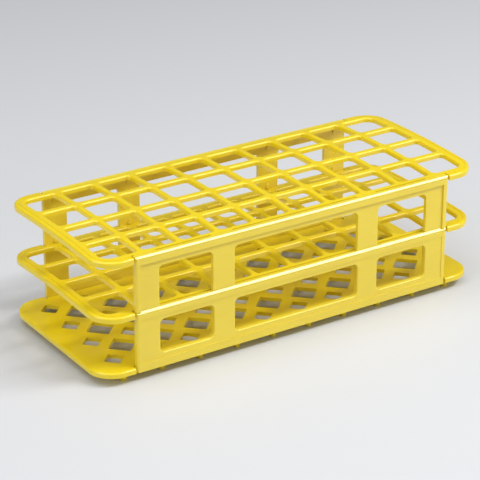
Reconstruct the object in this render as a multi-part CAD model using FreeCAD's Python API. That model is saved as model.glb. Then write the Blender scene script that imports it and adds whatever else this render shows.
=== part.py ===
import FreeCAD, Part
import math
import os

from FreeCAD import Vector

# Test-tube rack, moulded in five pieces that clip together.
# Millimetres, +X along the rack, +Y to the back, +Z up.
# The origin is under the middle of the rack, on the plane that its feet stand on.

# Overall size
length = 246.0
width = 104.0
height = 72.0
foot_height = 5.2
corner_radius = 14.2

# Cells for the tubes
columns = 10
rows = 4
pitch = 23.65
long_bar = 4.0
cross_bar = 3.4
cell_radius = 2.4
edge_cell_radius = 5.6
edge_bar_inner_y = 45.0

# Shelves: each level is that of a shelf's long edges, from which the grids arch up by the crown
middle_level = 40.3
crown = 1.8
rim_depth = 3.2
outer_round = 1.2
bar_depth = 2.8
bar_round = 1.1
skirt_width = 2.2
bead_offset = 2.3
bead_width = 0.6
bead_depth = 0.25
drain_rim_depth = 3.0
plate_thickness = 2.2

# Drain holes in the bottom shelf
large_drain_side = 12.9
small_drain_side = 8.8
drain_corner = 1.0

# Feet under the bottom shelf
foot_radius = 2.2
foot_tip_radius = 1.8
foot_inset = 7.0

# Side panels
panel_length = 202.6
panel_thickness = 3.2
panel_fit = 0.06
ear_gap = 1.0
edge_relief = 0.7
end_border = 2.8
end_round = 1.2
band_height = 4.8
recess_depth = 1.0
top_bevel = 0.8
lower_recess_depth = 0.35
window_top = 8.0
lower_window_top = 39.3
lower_window_bottom = 58.7
window_radius = 3.0
window_lip = 0.7
post_inner_x = 40.2
side_window_inner_x = 53.6
side_window_outer_x = 87.0

# Tabs on the shelves, and the sockets that they enter
tab_width = 8.0
tab_length = 1.6
tab_thickness = 1.6
tab_drop = 1.0
pad_width = 13.0
socket_clearance = 0.08
socket_end_gap = 0.25
boss_radius = 1.6
boss_stand = 0.9

panel_inner_y = width / 2 - panel_thickness
panel_bottom = foot_height
drain_level = panel_bottom + drain_rim_depth
inner_post_x = (post_inner_x + side_window_inner_x) / 2
end_post_x = (side_window_outer_x + panel_length / 2) / 2
arch_radius = (width / 2) ** 2 / (2 * crown)
post_positions = [-end_post_x, -inner_post_x, inner_post_x, end_post_x]


def block(x_low, x_high, y_low, y_high, z_low, z_high):
    """A box between two corners."""
    return Part.makeBox(x_high - x_low, y_high - y_low, z_high - z_low, Vector(x_low, y_low, z_low))


def rounded_prism(x_low, x_high, y_low, y_high, z_low, z_high, radii):
    """An upright prism with four rounded corners.

    radii holds the corner radii, counter-clockwise from the corner at x_low, y_low.
    """
    corners = [Vector(x_low, y_low), Vector(x_high, y_low), Vector(x_high, y_high), Vector(x_low, y_high)]
    edges = []
    starts = []
    ends = []
    for index in range(4):
        corner = corners[index]
        before = (corners[index - 1] - corner).normalize()
        after = (corners[(index + 1) % 4] - corner).normalize()
        radius = radii[index]
        start = corner + before * radius
        end = corner + after * radius
        middle = corner + (before + after) * radius * (1 - math.sqrt(0.5))
        starts.append(start)
        ends.append(end)
        edges.append(Part.Arc(start, middle, end).toShape())
    for index in range(4):
        edges.append(Part.LineSegment(ends[index], starts[(index + 1) % 4]).toShape())
    wire = Part.Wire(Part.__sortEdges__(edges))
    face = Part.Face(wire)
    face.translate(Vector(0, 0, z_low))
    return face.extrude(Vector(0, 0, z_high - z_low))


def outline(inset, z_low, z_high):
    """The plan shape that all three shelves share, drawn in by inset."""
    half_x = length / 2 - inset
    half_y = width / 2 - inset
    radii = [corner_radius - inset] * 4
    return rounded_prism(-half_x, half_x, -half_y, half_y, z_low, z_high, radii)


def edges_at(shape, z):
    """The edges that lie flat at height z."""
    return [
        edge
        for edge in shape.Edges
        if abs(edge.BoundBox.ZMin - z) < 1e-4 and abs(edge.BoundBox.ZMax - z) < 1e-4
    ]


def arch(crest):
    """The space under a gentle arch across the rack, with its highest line at crest."""
    start = Vector(-length, 0, crest - arch_radius)
    along = Vector(1, 0, 0)
    space = Part.makeCylinder(arch_radius, 2 * length, start, along)
    space.rotate(start, along, 90)
    return space


def arched_top(shape):
    """The upper arched face of a grid."""
    arched = []
    for face in shape.Faces:
        if isinstance(face.Surface, Part.Cylinder) and abs(face.Surface.Radius - arch_radius) < 1e-3:
            arched.append(face)
    return max(arched, key=lambda face: face.CenterOfMass.z)


def cell_span(column, row):
    """The plan corners of one tube cell."""
    x_low = (column - columns / 2) * pitch + cross_bar / 2
    x_high = x_low + pitch - cross_bar
    y_low = (row - rows / 2) * pitch + long_bar / 2
    y_high = y_low + pitch - long_bar
    if row == 0:
        y_low = -edge_bar_inner_y
    if row == rows - 1:
        y_high = edge_bar_inner_y
    return x_low, x_high, y_low, y_high


def cell_cutter(column, row, z_low, z_high):
    """One cell's opening; the four corner cells follow the shelf's round corners."""
    radii = [cell_radius] * 4
    if column == 0 and row == 0:
        radii[0] = edge_cell_radius
    if column == columns - 1 and row == 0:
        radii[1] = edge_cell_radius
    if column == columns - 1 and row == rows - 1:
        radii[2] = edge_cell_radius
    if column == 0 and row == rows - 1:
        radii[3] = edge_cell_radius
    return rounded_prism(*cell_span(column, row), z_low, z_high, radii)


def panel_seats(z_low, z_high):
    """The two long rebates in a shelf's edges, where the side panels sit."""
    half = panel_length / 2 + ear_gap
    seats = []
    for side in (-1, 1):
        inner = panel_inner_y - panel_fit
        y_low, y_high = sorted((side * inner, side * width))
        seats.append(block(-half, half, y_low, y_high, z_low, z_high))
    return seats


def edge_reliefs(z_low, z_high):
    """Shallow cuts between the posts, so the shelf touches a panel only at its pads."""
    stops = [-panel_length / 2 - ear_gap]
    for post in post_positions:
        stops.extend([post - pad_width / 2, post + pad_width / 2])
    stops.append(panel_length / 2 + ear_gap)
    cuts = []
    for side in (-1, 1):
        y_low, y_high = sorted((side * (panel_inner_y - edge_relief), side * width))
        for start, stop in zip(stops[::2], stops[1::2]):
            cuts.append(block(start, stop, y_low, y_high, z_low, z_high))
    return cuts


def tabs(level):
    """The tabs along both long edges of a shelf whose rim is at this level."""
    made = []
    for side in (-1, 1):
        y_low, y_high = sorted((side * (panel_inner_y - 1.0), side * (panel_inner_y + tab_length)))
        for post in post_positions:
            half = tab_width / 2
            z_high = level - tab_drop
            made.append(block(post - half, post + half, y_low, y_high, z_high - tab_thickness, z_high))
    return made


def bead_groove(crest):
    """The fine line pressed into an arched top just inside its rounded outer edge."""
    ring = outline(bead_offset, crest - 2 * crown, crest + 1)
    ring = ring.cut(outline(bead_offset + bead_width, crest - 3 * crown, crest + 2))
    return ring.cut(arch(crest - bead_depth))


def finish_shelf(shelf, level):
    """Cut the panel seats and reliefs into a shelf, then add its tabs."""
    z_low = level - rim_depth - crown
    z_high = level + 2 * crown
    shelf = shelf.cut(panel_seats(z_low, z_high) + edge_reliefs(z_low, z_high))
    return shelf.fuse(tabs(level)).removeSplitter()


def hollow(z_low, z_high):
    """The shallow space under a shelf, inside its skirt."""
    half_x = length / 2 - skirt_width
    half_y = panel_inner_y - skirt_width
    radii = [corner_radius - skirt_width] * 4
    return rounded_prism(-half_x, half_x, -half_y, half_y, z_low, z_high, radii)


def cell_edges(shape, column, row):
    """The edges of one cell in a grid's arched top."""
    x_low, x_high, y_low, y_high = cell_span(column, row)
    found = []
    for edge in arched_top(shape).Edges:
        box = edge.BoundBox
        in_length = box.XMin > x_low - 0.1 and box.XMax < x_high + 0.1
        in_width = box.YMin > y_low - 0.1 and box.YMax < y_high + 0.1
        if in_length and in_width:
            found.append(edge)
    return found


def grid_shelf(level):
    """An open grid of square cells with rounded bars, gently arched across the rack."""
    crest = level + crown
    bottom = level - rim_depth - crown
    shelf = outline(0, bottom, crest + 1).common(arch(crest)).cut(arch(crest - rim_depth))
    shelf = shelf.makeFillet(outer_round, arched_top(shelf).Edges)
    for column in range(columns):
        for row in range(rows):
            shelf = shelf.cut(cell_cutter(column, row, bottom - 1, crest + 1))
            shelf = shelf.makeFillet(bar_round, cell_edges(shelf, column, row))
    shelf = shelf.cut(hollow(bottom - 1, crest).common(arch(crest - bar_depth)))
    shelf = shelf.cut(bead_groove(crest))
    return finish_shelf(shelf, level)


def diamond(x, y, side, z_low, z_high):
    """A square drain hole set at 45 degrees, with eased corners."""
    half = side / 2
    prism = rounded_prism(-half, half, -half, half, z_low, z_high, [drain_corner] * 4)
    prism.rotate(Vector(0, 0, 0), Vector(0, 0, 1), 45)
    prism.translate(Vector(x, y, 0))
    return prism


def drain_holes(z_low, z_high):
    """Large drain holes where four cells meet, and a small one under each cell."""
    holes = []
    for column in range(1, columns):
        for row in range(1, rows):
            x = (column - columns / 2) * pitch
            y = (row - rows / 2) * pitch
            holes.append(diamond(x, y, large_drain_side, z_low, z_high))
    for column in range(columns):
        for row in range(rows):
            x = (column + 0.5 - columns / 2) * pitch
            y = (row + 0.5 - rows / 2) * pitch
            holes.append(diamond(x, y, small_drain_side, z_low, z_high))
    return holes


def feet(top):
    """The moulded studs that the rack stands on, in a row along each long edge."""
    studs = []
    for side in (-1, 1):
        for column in range(columns):
            x = (column + 0.5 - columns / 2) * pitch
            y = side * (width / 2 - foot_inset)
            studs.append(Part.makeCone(foot_tip_radius, foot_radius, top, Vector(x, y, 0)))
    return studs


def drain_shelf():
    """The bottom plate in its deeper rim, with its drain holes and feet."""
    bottom = panel_bottom
    level = drain_level
    underside = level - plate_thickness
    plate = outline(0, bottom, level)
    plate = plate.makeFillet(outer_round, edges_at(plate, level))
    plate = plate.cut(hollow(bottom - 1, underside))
    plate = plate.cut(drain_holes(bottom - 1, level + 1))
    shelf = finish_shelf(plate, level)
    return shelf.fuse(feet(underside + 0.5)).removeSplitter()


def window(x_low, x_high, z_low, z_high, radii, depth_low, depth_high):
    """A window cutter through an upright panel, drawn with z along the plan's y."""
    prism = rounded_prism(x_low, x_high, z_low, z_high, depth_low, depth_high, radii)
    prism.rotate(Vector(0, 0, 0), Vector(1, 0, 0), 90)
    return prism


def window_spans():
    """The left and right limits of the three windows in each tier."""
    return [
        (-side_window_outer_x, -side_window_inner_x),
        (-post_inner_x, post_inner_x),
        (side_window_inner_x, side_window_outer_x),
    ]


def edge_chamfer(z_top, size):
    """A wedge that bevels the outer edge of a step whose top is at z_top."""
    half = panel_length / 2 + 1
    outer = -width / 2
    corner = [
        Vector(-half, outer - 1, z_top - size - 1),
        Vector(-half, outer - 1, z_top + 1),
        Vector(-half, outer + size + 1, z_top + 1),
    ]
    wire = Part.makePolygon(corner + corner[:1])
    return Part.Face(wire).extrude(Vector(2 * half, 0, 0))


def sockets():
    """Blind slots in the panel's inner face for the tabs of the three shelves."""
    cuts = []
    inner = -panel_inner_y
    for level in (height, middle_level, drain_level):
        for post in post_positions:
            half = tab_width / 2 + socket_clearance
            z_high = level - tab_drop + socket_clearance
            z_low = level - tab_drop - tab_thickness - socket_clearance
            deep = inner - tab_length - socket_end_gap
            cuts.append(block(post - half, post + half, deep, inner + 1, z_low, z_high))
    return cuts


def bosses():
    """Half-round snap bosses on the posts, under the top shelf and over the middle one."""
    made = []
    under_top = height - rim_depth - boss_radius - 0.2
    over_middle = middle_level + boss_radius + 0.5
    for z in (under_top, over_middle):
        for post in post_positions:
            base = Vector(post, -panel_inner_y - 0.5, z)
            boss = Part.makeCylinder(boss_radius, boss_stand + 0.5, base, Vector(0, 1, 0))
            made.append(boss)
    return made


def front_side_panel():
    """A side panel: bands along its tiers, recessed posts and three windows in each tier."""
    half = panel_length / 2
    outer = -width / 2
    inner = -panel_inner_y
    panel = block(-half, half, outer, inner, panel_bottom, height)
    upright = [
        edge
        for edge in panel.Edges
        if edge.BoundBox.ZLength > 1 and abs(edge.BoundBox.YMax - outer) < 1e-6
    ]
    panel = panel.makeFillet(end_round, upright)
    reach = half - end_border
    upper_recess = block(-reach, reach, outer - 1, outer + recess_depth, middle_level, height - band_height)
    lower_recess = block(
        -reach,
        reach,
        outer - 1,
        outer + lower_recess_depth,
        panel_bottom + band_height,
        middle_level - band_height,
    )
    bevels = [edge_chamfer(height, top_bevel), edge_chamfer(middle_level, recess_depth)]
    bevels[1] = bevels[1].common(block(-half, half, outer - 1, inner, 0, middle_level))
    panel = panel.cut([upper_recess, lower_recess] + bevels)
    windows = []
    for x_low, x_high in window_spans():
        square = [0.05, 0.05, window_radius, window_radius]
        z_high = height - window_top
        windows.append(window(x_low, x_high, middle_level, z_high, square, 0, width))
        round_all = [window_radius] * 4
        z_low = height - lower_window_bottom
        z_high = height - lower_window_top
        windows.append(window(x_low, x_high, z_low, z_high, round_all, 0, width))
    panel = panel.cut(windows)
    panel = ease_windows(panel)
    return panel.cut(sockets()).fuse(bosses()).removeSplitter()


def ease_windows(panel):
    """Round the outer lips of the lower windows."""
    face_y = -width / 2 + lower_recess_depth
    z_top = height - lower_window_top
    lips = []
    for edge in panel.Edges:
        box = edge.BoundBox
        flat = abs(box.YMin - face_y) < 1e-4 and abs(box.YMax - face_y) < 1e-4
        inside = box.ZMin > height - lower_window_bottom - 0.01 and box.ZMax < z_top + 0.01
        reach = panel_length / 2 - end_border - 0.1
        if flat and inside and abs(box.XMin) < reach and abs(box.XMax) < reach:
            lips.append(edge)
    return panel.makeFillet(window_lip, lips)


def write(shape, name):
    """Write one checked piece to its own STEP file."""
    if not shape.isValid():
        raise RuntimeError(name + " is not a valid solid")
    if len(shape.Solids) != 1:
        raise RuntimeError(name + " is not a single solid")
    shape.Solids[0].exportStep("parts/" + name + ".step")
    print(name, round(shape.Volume), "mm3")


os.makedirs("parts", exist_ok=True)

front = front_side_panel()
back = front.copy()
back.rotate(Vector(0, 0, 0), Vector(0, 0, 1), 180)

top = grid_shelf(height)
middle = top.copy()
middle.translate(Vector(0, 0, middle_level - height))

write(top, "top_shelf")
write(middle, "middle_shelf")
write(drain_shelf(), "bottom_shelf")
write(front, "front_panel")
write(back, "back_panel")
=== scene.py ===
import math

import bpy
from bpy.props import FloatProperty, FloatVectorProperty, PointerProperty
from bpy.types import Operator, Panel, PropertyGroup
from mathutils import Matrix, Vector


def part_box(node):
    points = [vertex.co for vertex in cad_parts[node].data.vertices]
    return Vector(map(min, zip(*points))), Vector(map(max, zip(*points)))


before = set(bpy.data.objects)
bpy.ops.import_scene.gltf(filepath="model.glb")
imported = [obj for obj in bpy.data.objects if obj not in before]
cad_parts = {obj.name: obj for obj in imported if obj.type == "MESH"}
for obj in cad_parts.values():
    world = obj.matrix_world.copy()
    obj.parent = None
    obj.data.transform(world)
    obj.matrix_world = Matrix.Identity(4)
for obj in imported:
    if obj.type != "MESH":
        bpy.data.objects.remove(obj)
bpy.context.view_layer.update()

bl_info = {
    "name": "Test Tube Rack",
    "version": (1, 0, 0),
    "blender": (4, 5, 0),
    "location": "View3D > Sidebar > Rack",
    "description": "Finishes a clip-together plastic test tube rack and sets up its studio",
    "category": "Object",
}

GRID_SHELVES = ("top_shelf", "middle_shelf")
SIDE_PANELS = ("front_panel", "back_panel")
DRAIN_SHELF = "bottom_shelf"

# Heights of the side panels' top edge and of the ledge one tier below it.
RACK_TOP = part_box("front_panel")[1].z
TIER_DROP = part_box("top_shelf")[1].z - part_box("middle_shelf")[1].z
LEDGE_TOP = RACK_TOP - TIER_DROP

# Two crossing sets of hair scratches: width in metres and turn in radians.
SCRATCHES = ((0.00022, 0.6), (0.0003, 2.1))

# A scratch's length in its own widths, and the sizes in metres of the patches that hold scratches, of
# specks and of rubbed places. The last is the size of flow streaks as a share of the cloud size.
SCRATCH_LENGTH = 30.0
SCRATCH_PATCH_SIZE = 0.02
SPECK_SIZE = 0.0009
RUBBED_SIZE = 0.013
STREAK_SHARE = 0.12

# How polypropylene bends light, how rough its mould-polished skin is, and how far red, green and blue
# light travel inside it, as shares of the light spread.
PLASTIC_IOR = 1.49
SKIN_ROUGHNESS = 0.12
LIGHT_REACH = (1.0, 0.72, 0.12)

SKY_COLOUR = (0.93, 0.96, 1.0)
SENSOR_WIDTH = 36.0
NEAREST_SEEN = 0.05

# Each lamp's name, direction from the rack, distance, size along and up, and power setting.
LAMPS = (
    ("key_lamp", (0.495, -0.413, 0.765), 1.6, (0.95, 0.32), "key_power"),
    ("fill_lamp", (0.55, -0.8, 0.34), 1.2, (0.6, 0.6), "fill_power"),
    ("top_lamp", (-0.25, -0.1, 1.0), 1.5, (1.6, 1.6), "top_power"),
    ("side_lamp", (-1.0, -0.12, 0.45), 1.5, (1.0, 0.8), "side_power"),
)


# ---------------------------------------------------------------- sizes and colours


class PlasticSettings(PropertyGroup):
    """Colours and surface of the moulded polypropylene."""

    colour: FloatVectorProperty(
        name="Colour",
        description="The plastic's own yellow",
        subtype="COLOR",
        default=(0.86, 0.665, 0.007),
        min=0.0,
        max=1.0,
    )
    deep_colour: FloatVectorProperty(
        name="Deep Colour",
        description="Yellow of the thicker and cloudier places",
        subtype="COLOR",
        default=(0.76, 0.565, 0.005),
        min=0.0,
        max=1.0,
    )
    # The pale colour serves the real scuffs and rubbed edges, and also the painted sheen that pales the side
    # panels all over.
    pale_wear_and_sheen_colour: FloatVectorProperty(
        name="Pale Colour",
        description="Chalky yellow of scuffs and rubbed edges",
        subtype="COLOR",
        default=(0.93, 0.78, 0.28),
        min=0.0,
        max=1.0,
    )
    roughness: FloatProperty(
        name="Roughness",
        description="Roughness of clean plastic",
        subtype="FACTOR",
        default=0.25,
        min=0.0,
        max=1.0,
    )
    scuff_roughness: FloatProperty(
        name="Scuff Roughness",
        description="How much rougher the scuffed places are",
        subtype="FACTOR",
        default=0.22,
        min=0.0,
        max=1.0,
    )
    coat: FloatProperty(
        name="Coat",
        description="Strength of the glossy skin left by the polished mould",
        subtype="FACTOR",
        default=0.45,
        min=0.0,
        max=1.0,
    )
    translucency: FloatProperty(
        name="Translucency",
        description="Share of the light that spreads inside the plastic",
        subtype="FACTOR",
        default=0.18,
        min=0.0,
        max=1.0,
    )
    light_spread: FloatProperty(
        name="Light Spread",
        description="How far light travels inside the plastic",
        subtype="DISTANCE",
        unit="LENGTH",
        default=0.003,
        min=0.0,
    )
    cloud_size: FloatProperty(
        name="Cloud Size",
        description="Size of the slow changes in colour",
        subtype="DISTANCE",
        unit="LENGTH",
        default=0.045,
        min=0.001,
    )
    grain_size: FloatProperty(
        name="Grain Size",
        description="Size of the fine grain left by the mould",
        subtype="DISTANCE",
        unit="LENGTH",
        default=0.0007,
        min=0.0001,
    )
    grain_depth: FloatProperty(
        name="Grain Depth",
        description="Height of the fine grain",
        subtype="DISTANCE",
        unit="LENGTH",
        default=0.000012,
        min=0.0,
        precision=6,
    )
    ripple_size: FloatProperty(
        name="Ripple Size",
        description="Length of the soft ripples where the plastic shrank",
        subtype="DISTANCE",
        unit="LENGTH",
        default=0.011,
        min=0.001,
    )
    ripple_depth: FloatProperty(
        name="Ripple Depth",
        description="Height of the soft ripples",
        subtype="DISTANCE",
        unit="LENGTH",
        default=0.00006,
        min=0.0,
        precision=6,
    )
    line_offset: FloatProperty(
        name="Line Offset",
        description="How far below the top of each band of a side panel its fine pressed line runs",
        subtype="DISTANCE",
        unit="LENGTH",
        default=0.0021,
        min=0.0,
        precision=4,
    )
    line_width: FloatProperty(
        name="Line Width",
        description="Half the width of the fine pressed lines",
        subtype="DISTANCE",
        unit="LENGTH",
        default=0.0003,
        min=0.0001,
        precision=4,
    )
    line_depth: FloatProperty(
        name="Line Depth",
        description="Depth of the fine pressed lines",
        subtype="DISTANCE",
        unit="LENGTH",
        default=0.00012,
        min=0.0,
        precision=5,
    )


class StudioSettings(PropertyGroup):
    """Floor, lights and camera."""

    floor_colour: FloatVectorProperty(
        name="Floor Colour",
        description="Pale colour of the floor",
        subtype="COLOR",
        default=(0.64, 0.65, 0.67),
        min=0.0,
        max=1.0,
    )
    floor_size: FloatProperty(
        name="Floor Size",
        description="Side of the square floor",
        subtype="DISTANCE",
        unit="LENGTH",
        default=8.0,
        min=1.0,
    )
    sky_strength: FloatProperty(
        name="Sky Strength",
        description="Brightness of the even light from all round",
        default=0.16,
        min=0.0,
    )
    key_power: FloatProperty(
        name="Key Power",
        description="Power of the long lamp above, in front and to the right",
        subtype="POWER",
        unit="POWER",
        default=16.0,
        min=0.0,
    )
    fill_power: FloatProperty(
        name="Fill Power",
        description="Power of the tall soft lamp in front, towards the right",
        subtype="POWER",
        unit="POWER",
        default=2.7,
        min=0.0,
    )
    top_power: FloatProperty(
        name="Top Power",
        description="Power of the broad lamp overhead",
        subtype="POWER",
        unit="POWER",
        default=15.5,
        min=0.0,
    )
    side_power: FloatProperty(
        name="Side Power",
        description="Power of the soft lamp to the left",
        subtype="POWER",
        unit="POWER",
        default=7.0,
        min=0.0,
    )
    azimuth: FloatProperty(
        name="Azimuth",
        description="Camera's turn about the rack",
        subtype="ANGLE",
        unit="ROTATION",
        default=math.radians(-32.8),
    )
    elevation: FloatProperty(
        name="Elevation",
        description="Camera's height above the horizon",
        subtype="ANGLE",
        unit="ROTATION",
        default=math.radians(24.45),
    )
    distance: FloatProperty(
        name="Distance",
        description="Camera's distance from the rack's top",
        subtype="DISTANCE",
        unit="LENGTH",
        default=1.2236,
        min=0.1,
    )
    aside: FloatProperty(
        name="Aside",
        description="Camera's shift to its own right",
        subtype="DISTANCE",
        unit="LENGTH",
        default=-0.0034,
    )
    rise: FloatProperty(
        name="Rise",
        description="Camera's shift upward in its own frame",
        subtype="DISTANCE",
        unit="LENGTH",
        default=-0.0313,
    )
    lens: FloatProperty(
        name="Lens",
        description="Focal length",
        subtype="DISTANCE_CAMERA",
        unit="CAMERA",
        default=165.4,
        min=1.0,
    )


# ---------------------------------------------------------------- shader helpers


class Signal:
    """A number that changes over a surface, used in plain arithmetic."""

    def __init__(self, shader, socket):
        self.shader = shader
        self.socket = socket

    def __add__(self, other):
        return self.shader.calculate("ADD", self, other)

    def __radd__(self, other):
        return self.shader.calculate("ADD", other, self)

    def __sub__(self, other):
        return self.shader.calculate("SUBTRACT", self, other)

    def __rsub__(self, other):
        return self.shader.calculate("SUBTRACT", other, self)

    def __mul__(self, other):
        return self.shader.calculate("MULTIPLY", self, other)

    def __rmul__(self, other):
        return self.shader.calculate("MULTIPLY", other, self)


class Shader:
    """One material's node tree, built node by node."""

    def __init__(self, name):
        self.material = bpy.data.materials.new(name)
        self.material.use_nodes = True
        self.tree = self.material.node_tree
        self.tree.nodes.clear()
        self.place = self.node("ShaderNodeTexCoord").outputs["Object"]

    def node(self, kind, settings=None, inputs=None):
        """Add a node, apply its settings, then set or link its sockets."""
        made = self.tree.nodes.new(kind)
        for name, value in (settings or {}).items():
            if name == "stops":
                self.set_stops(made.color_ramp, value)
            else:
                setattr(made, name, value)
        for key, value in (inputs or {}).items():
            self.feed(made.inputs[key], value)
        return made

    def set_stops(self, ramp, stops):
        """Give a colour ramp its stops, each a position and a grey level."""
        while len(ramp.elements) < len(stops):
            ramp.elements.new(0.5)
        for element, (position, level) in zip(ramp.elements, stops):
            element.position = position
            element.color = (level, level, level, 1.0)

    def feed(self, socket, value):
        """Link a socket to a signal or another socket, or set its constant."""
        if isinstance(value, Signal):
            self.tree.links.new(value.socket, socket)
        elif isinstance(value, bpy.types.NodeSocket):
            self.tree.links.new(value, socket)
        else:
            socket.default_value = value

    def calculate(self, operation, first, second):
        """One Math node."""
        made = self.node("ShaderNodeMath", {"operation": operation}, {0: first, 1: second})
        return Signal(self, made.outputs["Value"])

    def turned(self, angle):
        """The object's own coordinates, turned about the vertical."""
        settings = {"rotation_type": "Z_AXIS"}
        inputs = {"Vector": self.place, "Angle": angle}
        return self.node("ShaderNodeVectorRotate", settings, inputs).outputs["Vector"]

    def noise(self, size, detail=2.0, stretch=(1.0, 1.0, 1.0), place=None):
        """Soft noise whose features are about size metres across, longer where stretch is above 1."""
        scale = [1.0 / (size * along) for along in stretch]
        inputs = {0: place or self.place, 1: scale}
        scaled = self.node("ShaderNodeVectorMath", {"operation": "MULTIPLY"}, inputs).outputs["Vector"]
        inputs = {"Vector": scaled, "Scale": 1.0, "Detail": detail}
        return Signal(self, self.node("ShaderNodeTexNoise", None, inputs).outputs["Fac"])

    def ramp(self, signal, *stops):
        """Reshape a signal by a ramp of (position, level) stops."""
        made = self.node("ShaderNodeValToRGB", {"stops": stops}, {"Fac": signal})
        return Signal(self, made.outputs["Color"])

    def blend(self, factor, first, second):
        """Mix two colours, through the Mix node's colour sockets."""
        settings = {"data_type": "RGBA", "blend_type": "MIX"}
        made = self.node("ShaderNodeMix", settings, {"Factor": factor, 6: first, 7: second})
        return made.outputs[2]

    def bump(self, height, depth, below=None):
        """Raise the surface by height times depth metres, over another bump if there is one."""
        inputs = {"Strength": 1.0, "Distance": depth, "Height": height}
        if below is not None:
            inputs["Normal"] = below
        return self.node("ShaderNodeBump", None, inputs).outputs["Normal"]

    def surface(self, inputs):
        """End the tree in a Principled shader."""
        principled = self.node("ShaderNodeBsdfPrincipled", None, inputs)
        self.node("ShaderNodeOutputMaterial", None, {"Surface": principled.outputs["BSDF"]})
        return self.material


def opaque(colour):
    """A colour property as four numbers."""
    return (*colour, 1.0)


# ---------------------------------------------------------------- plastics


def scratches(shader, width, angle):
    """Sparse hair scratches, long along one direction in the rack's plan."""
    lines = shader.noise(width, 1.0, (SCRATCH_LENGTH, 1.0, 1.0), shader.turned(angle))
    patches = shader.ramp(shader.noise(SCRATCH_PATCH_SIZE), (0.5, 0.0), (0.7, 1.0))
    return shader.ramp(lines, (0.70, 0.0), (0.76, 1.0)) * patches


def pressed_lines(shader, heights, width):
    """Fine level lines round a piece, one at each height: 1 in the middle of a line and 0 beside it."""
    split = shader.node("ShaderNodeSeparateXYZ", None, {"Vector": shader.place})
    height = Signal(shader, split.outputs["Z"])
    distances = [shader.calculate("ABSOLUTE", height - level, 0.0) for level in heights]
    return sum(shader.ramp(away * (1.0 / width), (0.0, 1.0), (1.0, 0.0)) for away in distances)


def plastic(name, settings, flow, scuff_amount, painted_sheen, line_heights=()):
    """Moulded polypropylene, clouded and a little translucent, with a thin glossy skin.

    flow stretches the flow lines along the way that the melt ran, scuff_amount says how worn the piece is,
    the share after it pales the whole piece towards the pale colour as a painted sheen standing in for the
    reflection of the lamps and floor, and line_heights are the levels of its fine pressed lines.
    """
    shader = Shader(name)
    clouds = shader.ramp(shader.noise(settings.cloud_size, 3.0), (0.3, 0.0), (0.7, 1.0))
    streaks = shader.noise(settings.cloud_size * STREAK_SHARE, 2.0, flow)
    specks = shader.ramp(shader.noise(SPECK_SIZE, 1.0), (0.66, 0.0), (0.74, 1.0))
    scuffs = sum(scratches(shader, width, angle) for width, angle in SCRATCHES) * scuff_amount
    rubbed = shader.ramp(shader.noise(RUBBED_SIZE, 4.0), (0.55, 0.0), (0.80, 1.0)) * scuff_amount

    depth = clouds * 0.55 + streaks * 0.35
    body = shader.blend(depth, opaque(settings.colour), opaque(settings.deep_colour))
    # Real wear (scuffs, rubbed places, specks) plus a painted sheen, all mixed towards the pale colour.
    wear_and_painted_sheen = scuffs * 0.4 + rubbed * 0.10 + specks * 0.05 + painted_sheen
    colour = shader.blend(wear_and_painted_sheen, body, opaque(settings.pale_wear_and_sheen_colour))

    roughness = settings.roughness + streaks * 0.05 + clouds * 0.04
    roughness = roughness + (scuffs + rubbed * 0.5) * settings.scuff_roughness

    relief = shader.bump(shader.noise(settings.grain_size), settings.grain_depth)
    relief = shader.bump(shader.noise(settings.ripple_size, 1.0, flow), settings.ripple_depth, relief)
    relief = shader.bump(scuffs * -1.0, settings.grain_depth, relief)
    if line_heights:
        lines = pressed_lines(shader, line_heights, settings.line_width)
        relief = shader.bump(lines * -1.0, settings.line_depth, relief)
    return shader.surface(
        {
            "Base Color": colour,
            "Roughness": roughness,
            "Normal": relief,
            "IOR": PLASTIC_IOR,
            "Coat Weight": settings.coat,
            "Coat Roughness": SKIN_ROUGHNESS,
            "Subsurface Weight": settings.translucency,
            "Subsurface Radius": LIGHT_REACH,
            "Subsurface Scale": settings.light_spread,
        }
    )


def floor_paint(settings):
    """Matt pale paint with a very faint mottle."""
    shader = Shader("floor_paint")
    mottle = shader.noise(0.35) * 0.25
    lighter = tuple(min(1.0, level * 1.03) for level in settings.floor_colour)
    colour = shader.blend(mottle, opaque(settings.floor_colour), opaque(lighter))
    return shader.surface({"Base Color": colour, "Roughness": 0.55 + mottle * 0.1})


def dress(node_name, material):
    """Give a CAD piece its plastic."""
    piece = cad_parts[node_name]
    piece.data.materials.clear()
    piece.data.materials.append(material)
    return piece


# ---------------------------------------------------------------- operators


class RACK_OT_grid_shelves(Operator):
    """Give the two grid shelves their glossy moulded plastic"""

    bl_idname = "rack.grid_shelves"
    bl_label = "Finish Grid Shelves"

    def execute(self, context):
        settings = context.scene.rack_plastic
        material = plastic("grid_plastic", settings, (5.0, 1.0, 1.0), 0.5, 0.0)
        for name in GRID_SHELVES:
            dress(name, material)
        return {"FINISHED"}


class RACK_OT_drain_shelf(Operator):
    """Give the bottom shelf its plastic, scuffed where the tubes stand"""

    bl_idname = "rack.drain_shelf"
    bl_label = "Finish Drain Shelf"

    def execute(self, context):
        settings = context.scene.rack_plastic
        material = plastic("drain_plastic", settings, (2.0, 2.0, 1.0), 1.0, 0.0)
        dress(DRAIN_SHELF, material)
        return {"FINISHED"}


class RACK_OT_side_panels(Operator):
    """Give the two side panels their moulded plastic, paled all over by a painted sheen"""

    bl_idname = "rack.side_panels"
    bl_label = "Finish Side Panels"

    def execute(self, context):
        settings = context.scene.rack_plastic
        lines = [top - settings.line_offset for top in (RACK_TOP, LEDGE_TOP)]
        # The 0.12 pales the side panels all over: a painted sheen standing in for the reflection that washes
        # out their yellow.
        material = plastic("panel_plastic", settings, (8.0, 1.0, 1.0), 0.4, 0.12, lines)
        for name in SIDE_PANELS:
            dress(name, material)
        return {"FINISHED"}


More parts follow.
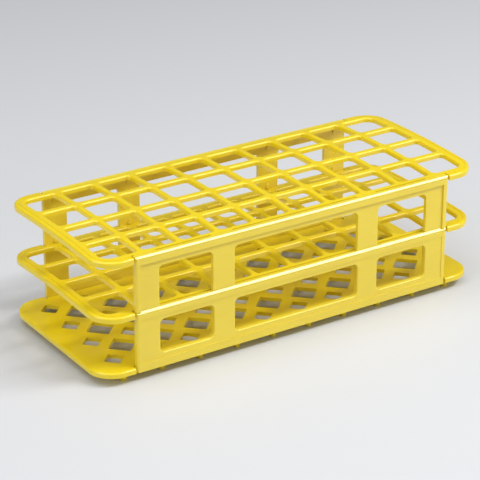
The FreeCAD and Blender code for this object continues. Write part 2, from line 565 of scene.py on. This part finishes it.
def add_floor(settings):
    """A wide flat floor under the feet."""
    half = settings.floor_size / 2
    mesh = bpy.data.meshes.new("floor")
    corners = [(-half, -half, 0), (half, -half, 0), (half, half, 0), (-half, half, 0)]
    mesh.from_pydata(corners, [], [(0, 1, 2, 3)])
    floor = bpy.data.objects.new("floor", mesh)
    mesh.materials.append(floor_paint(settings))
    bpy.context.scene.collection.objects.link(floor)


def add_lamp(name, direction, distance, size, power):
    """A soft lamp that looks at the rack from a direction, its first size lying along the rack."""
    data = bpy.data.lights.new(name, "AREA")
    data.shape = "RECTANGLE"
    data.size, data.size_y = size
    data.energy = power
    lamp = bpy.data.objects.new(name, data)
    way = Vector(direction).normalized()
    side = (Vector((1, 0, 0)) - way * way.x).normalized()
    rotation = Matrix((side, way.cross(side), way)).transposed()
    place = way * distance + Vector((0, 0, RACK_TOP / 2))
    lamp.matrix_world = Matrix.Translation(place) @ rotation.to_4x4()
    bpy.context.scene.collection.objects.link(lamp)


def add_camera(settings):
    """The camera, turned about the middle of the rack's top."""
    turn, lift = settings.azimuth, settings.elevation
    back = Vector((math.sin(turn) * math.cos(lift), -math.cos(turn) * math.cos(lift), math.sin(lift)))
    right = Vector((math.cos(turn), math.sin(turn), 0.0))
    up = back.cross(right)
    data = bpy.data.cameras.new("camera")
    data.lens = settings.lens
    data.sensor_width = SENSOR_WIDTH
    data.clip_start = NEAREST_SEEN
    camera = bpy.data.objects.new("camera", data)
    rotation = Matrix((right, up, back)).transposed()
    place = Vector((0, 0, RACK_TOP)) + right * settings.aside + up * settings.rise + back * settings.distance
    camera.matrix_world = Matrix.Translation(place) @ rotation.to_4x4()
    bpy.context.scene.collection.objects.link(camera)
    bpy.context.scene.camera = camera


def add_sky(strength):
    """Even pale light from all round."""
    world = bpy.data.worlds.new("studio sky")
    world.use_nodes = True
    background = world.node_tree.nodes["Background"]
    background.inputs["Color"].default_value = opaque(SKY_COLOUR)
    background.inputs["Strength"].default_value = strength
    bpy.context.scene.world = world


class RACK_OT_studio(Operator):
    """Add the floor, the lamps, the sky and the camera"""

    bl_idname = "rack.studio"
    bl_label = "Add Studio"

    def execute(self, context):
        settings = context.scene.rack_studio
        add_floor(settings)
        add_sky(settings.sky_strength)
        for name, direction, distance, size, power in LAMPS:
            add_lamp(name, direction, distance, size, getattr(settings, power))
        add_camera(settings)
        context.scene.view_settings.view_transform = "Standard"
        return {"FINISHED"}


class RACK_PT_sidebar(Panel):
    """Sidebar tab with every step of the rack"""

    bl_idname = "RACK_PT_sidebar"
    bl_label = "Test Tube Rack"
    bl_space_type = "VIEW_3D"
    bl_region_type = "UI"
    bl_category = "Rack"

    def draw(self, context):
        layout = self.layout
        for settings in (context.scene.rack_plastic, context.scene.rack_studio):
            box = layout.box()
            for name in settings.__annotations__:
                box.prop(settings, name)
        for step in STEPS:
            layout.operator(step.bl_idname)


STEPS = (RACK_OT_grid_shelves, RACK_OT_drain_shelf, RACK_OT_side_panels, RACK_OT_studio)
CLASSES = (PlasticSettings, StudioSettings, *STEPS, RACK_PT_sidebar)


def register():
    for item in CLASSES:
        bpy.utils.register_class(item)
    bpy.types.Scene.rack_plastic = PointerProperty(type=PlasticSettings)
    bpy.types.Scene.rack_studio = PointerProperty(type=StudioSettings)


def unregister():
    del bpy.types.Scene.rack_studio
    del bpy.types.Scene.rack_plastic
    for item in reversed(CLASSES):
        bpy.utils.unregister_class(item)


def main():
    register()
    bpy.ops.rack.grid_shelves()
    bpy.ops.rack.drain_shelf()
    bpy.ops.rack.side_panels()
    bpy.ops.rack.studio()


if __name__ == "__main__":
    main()
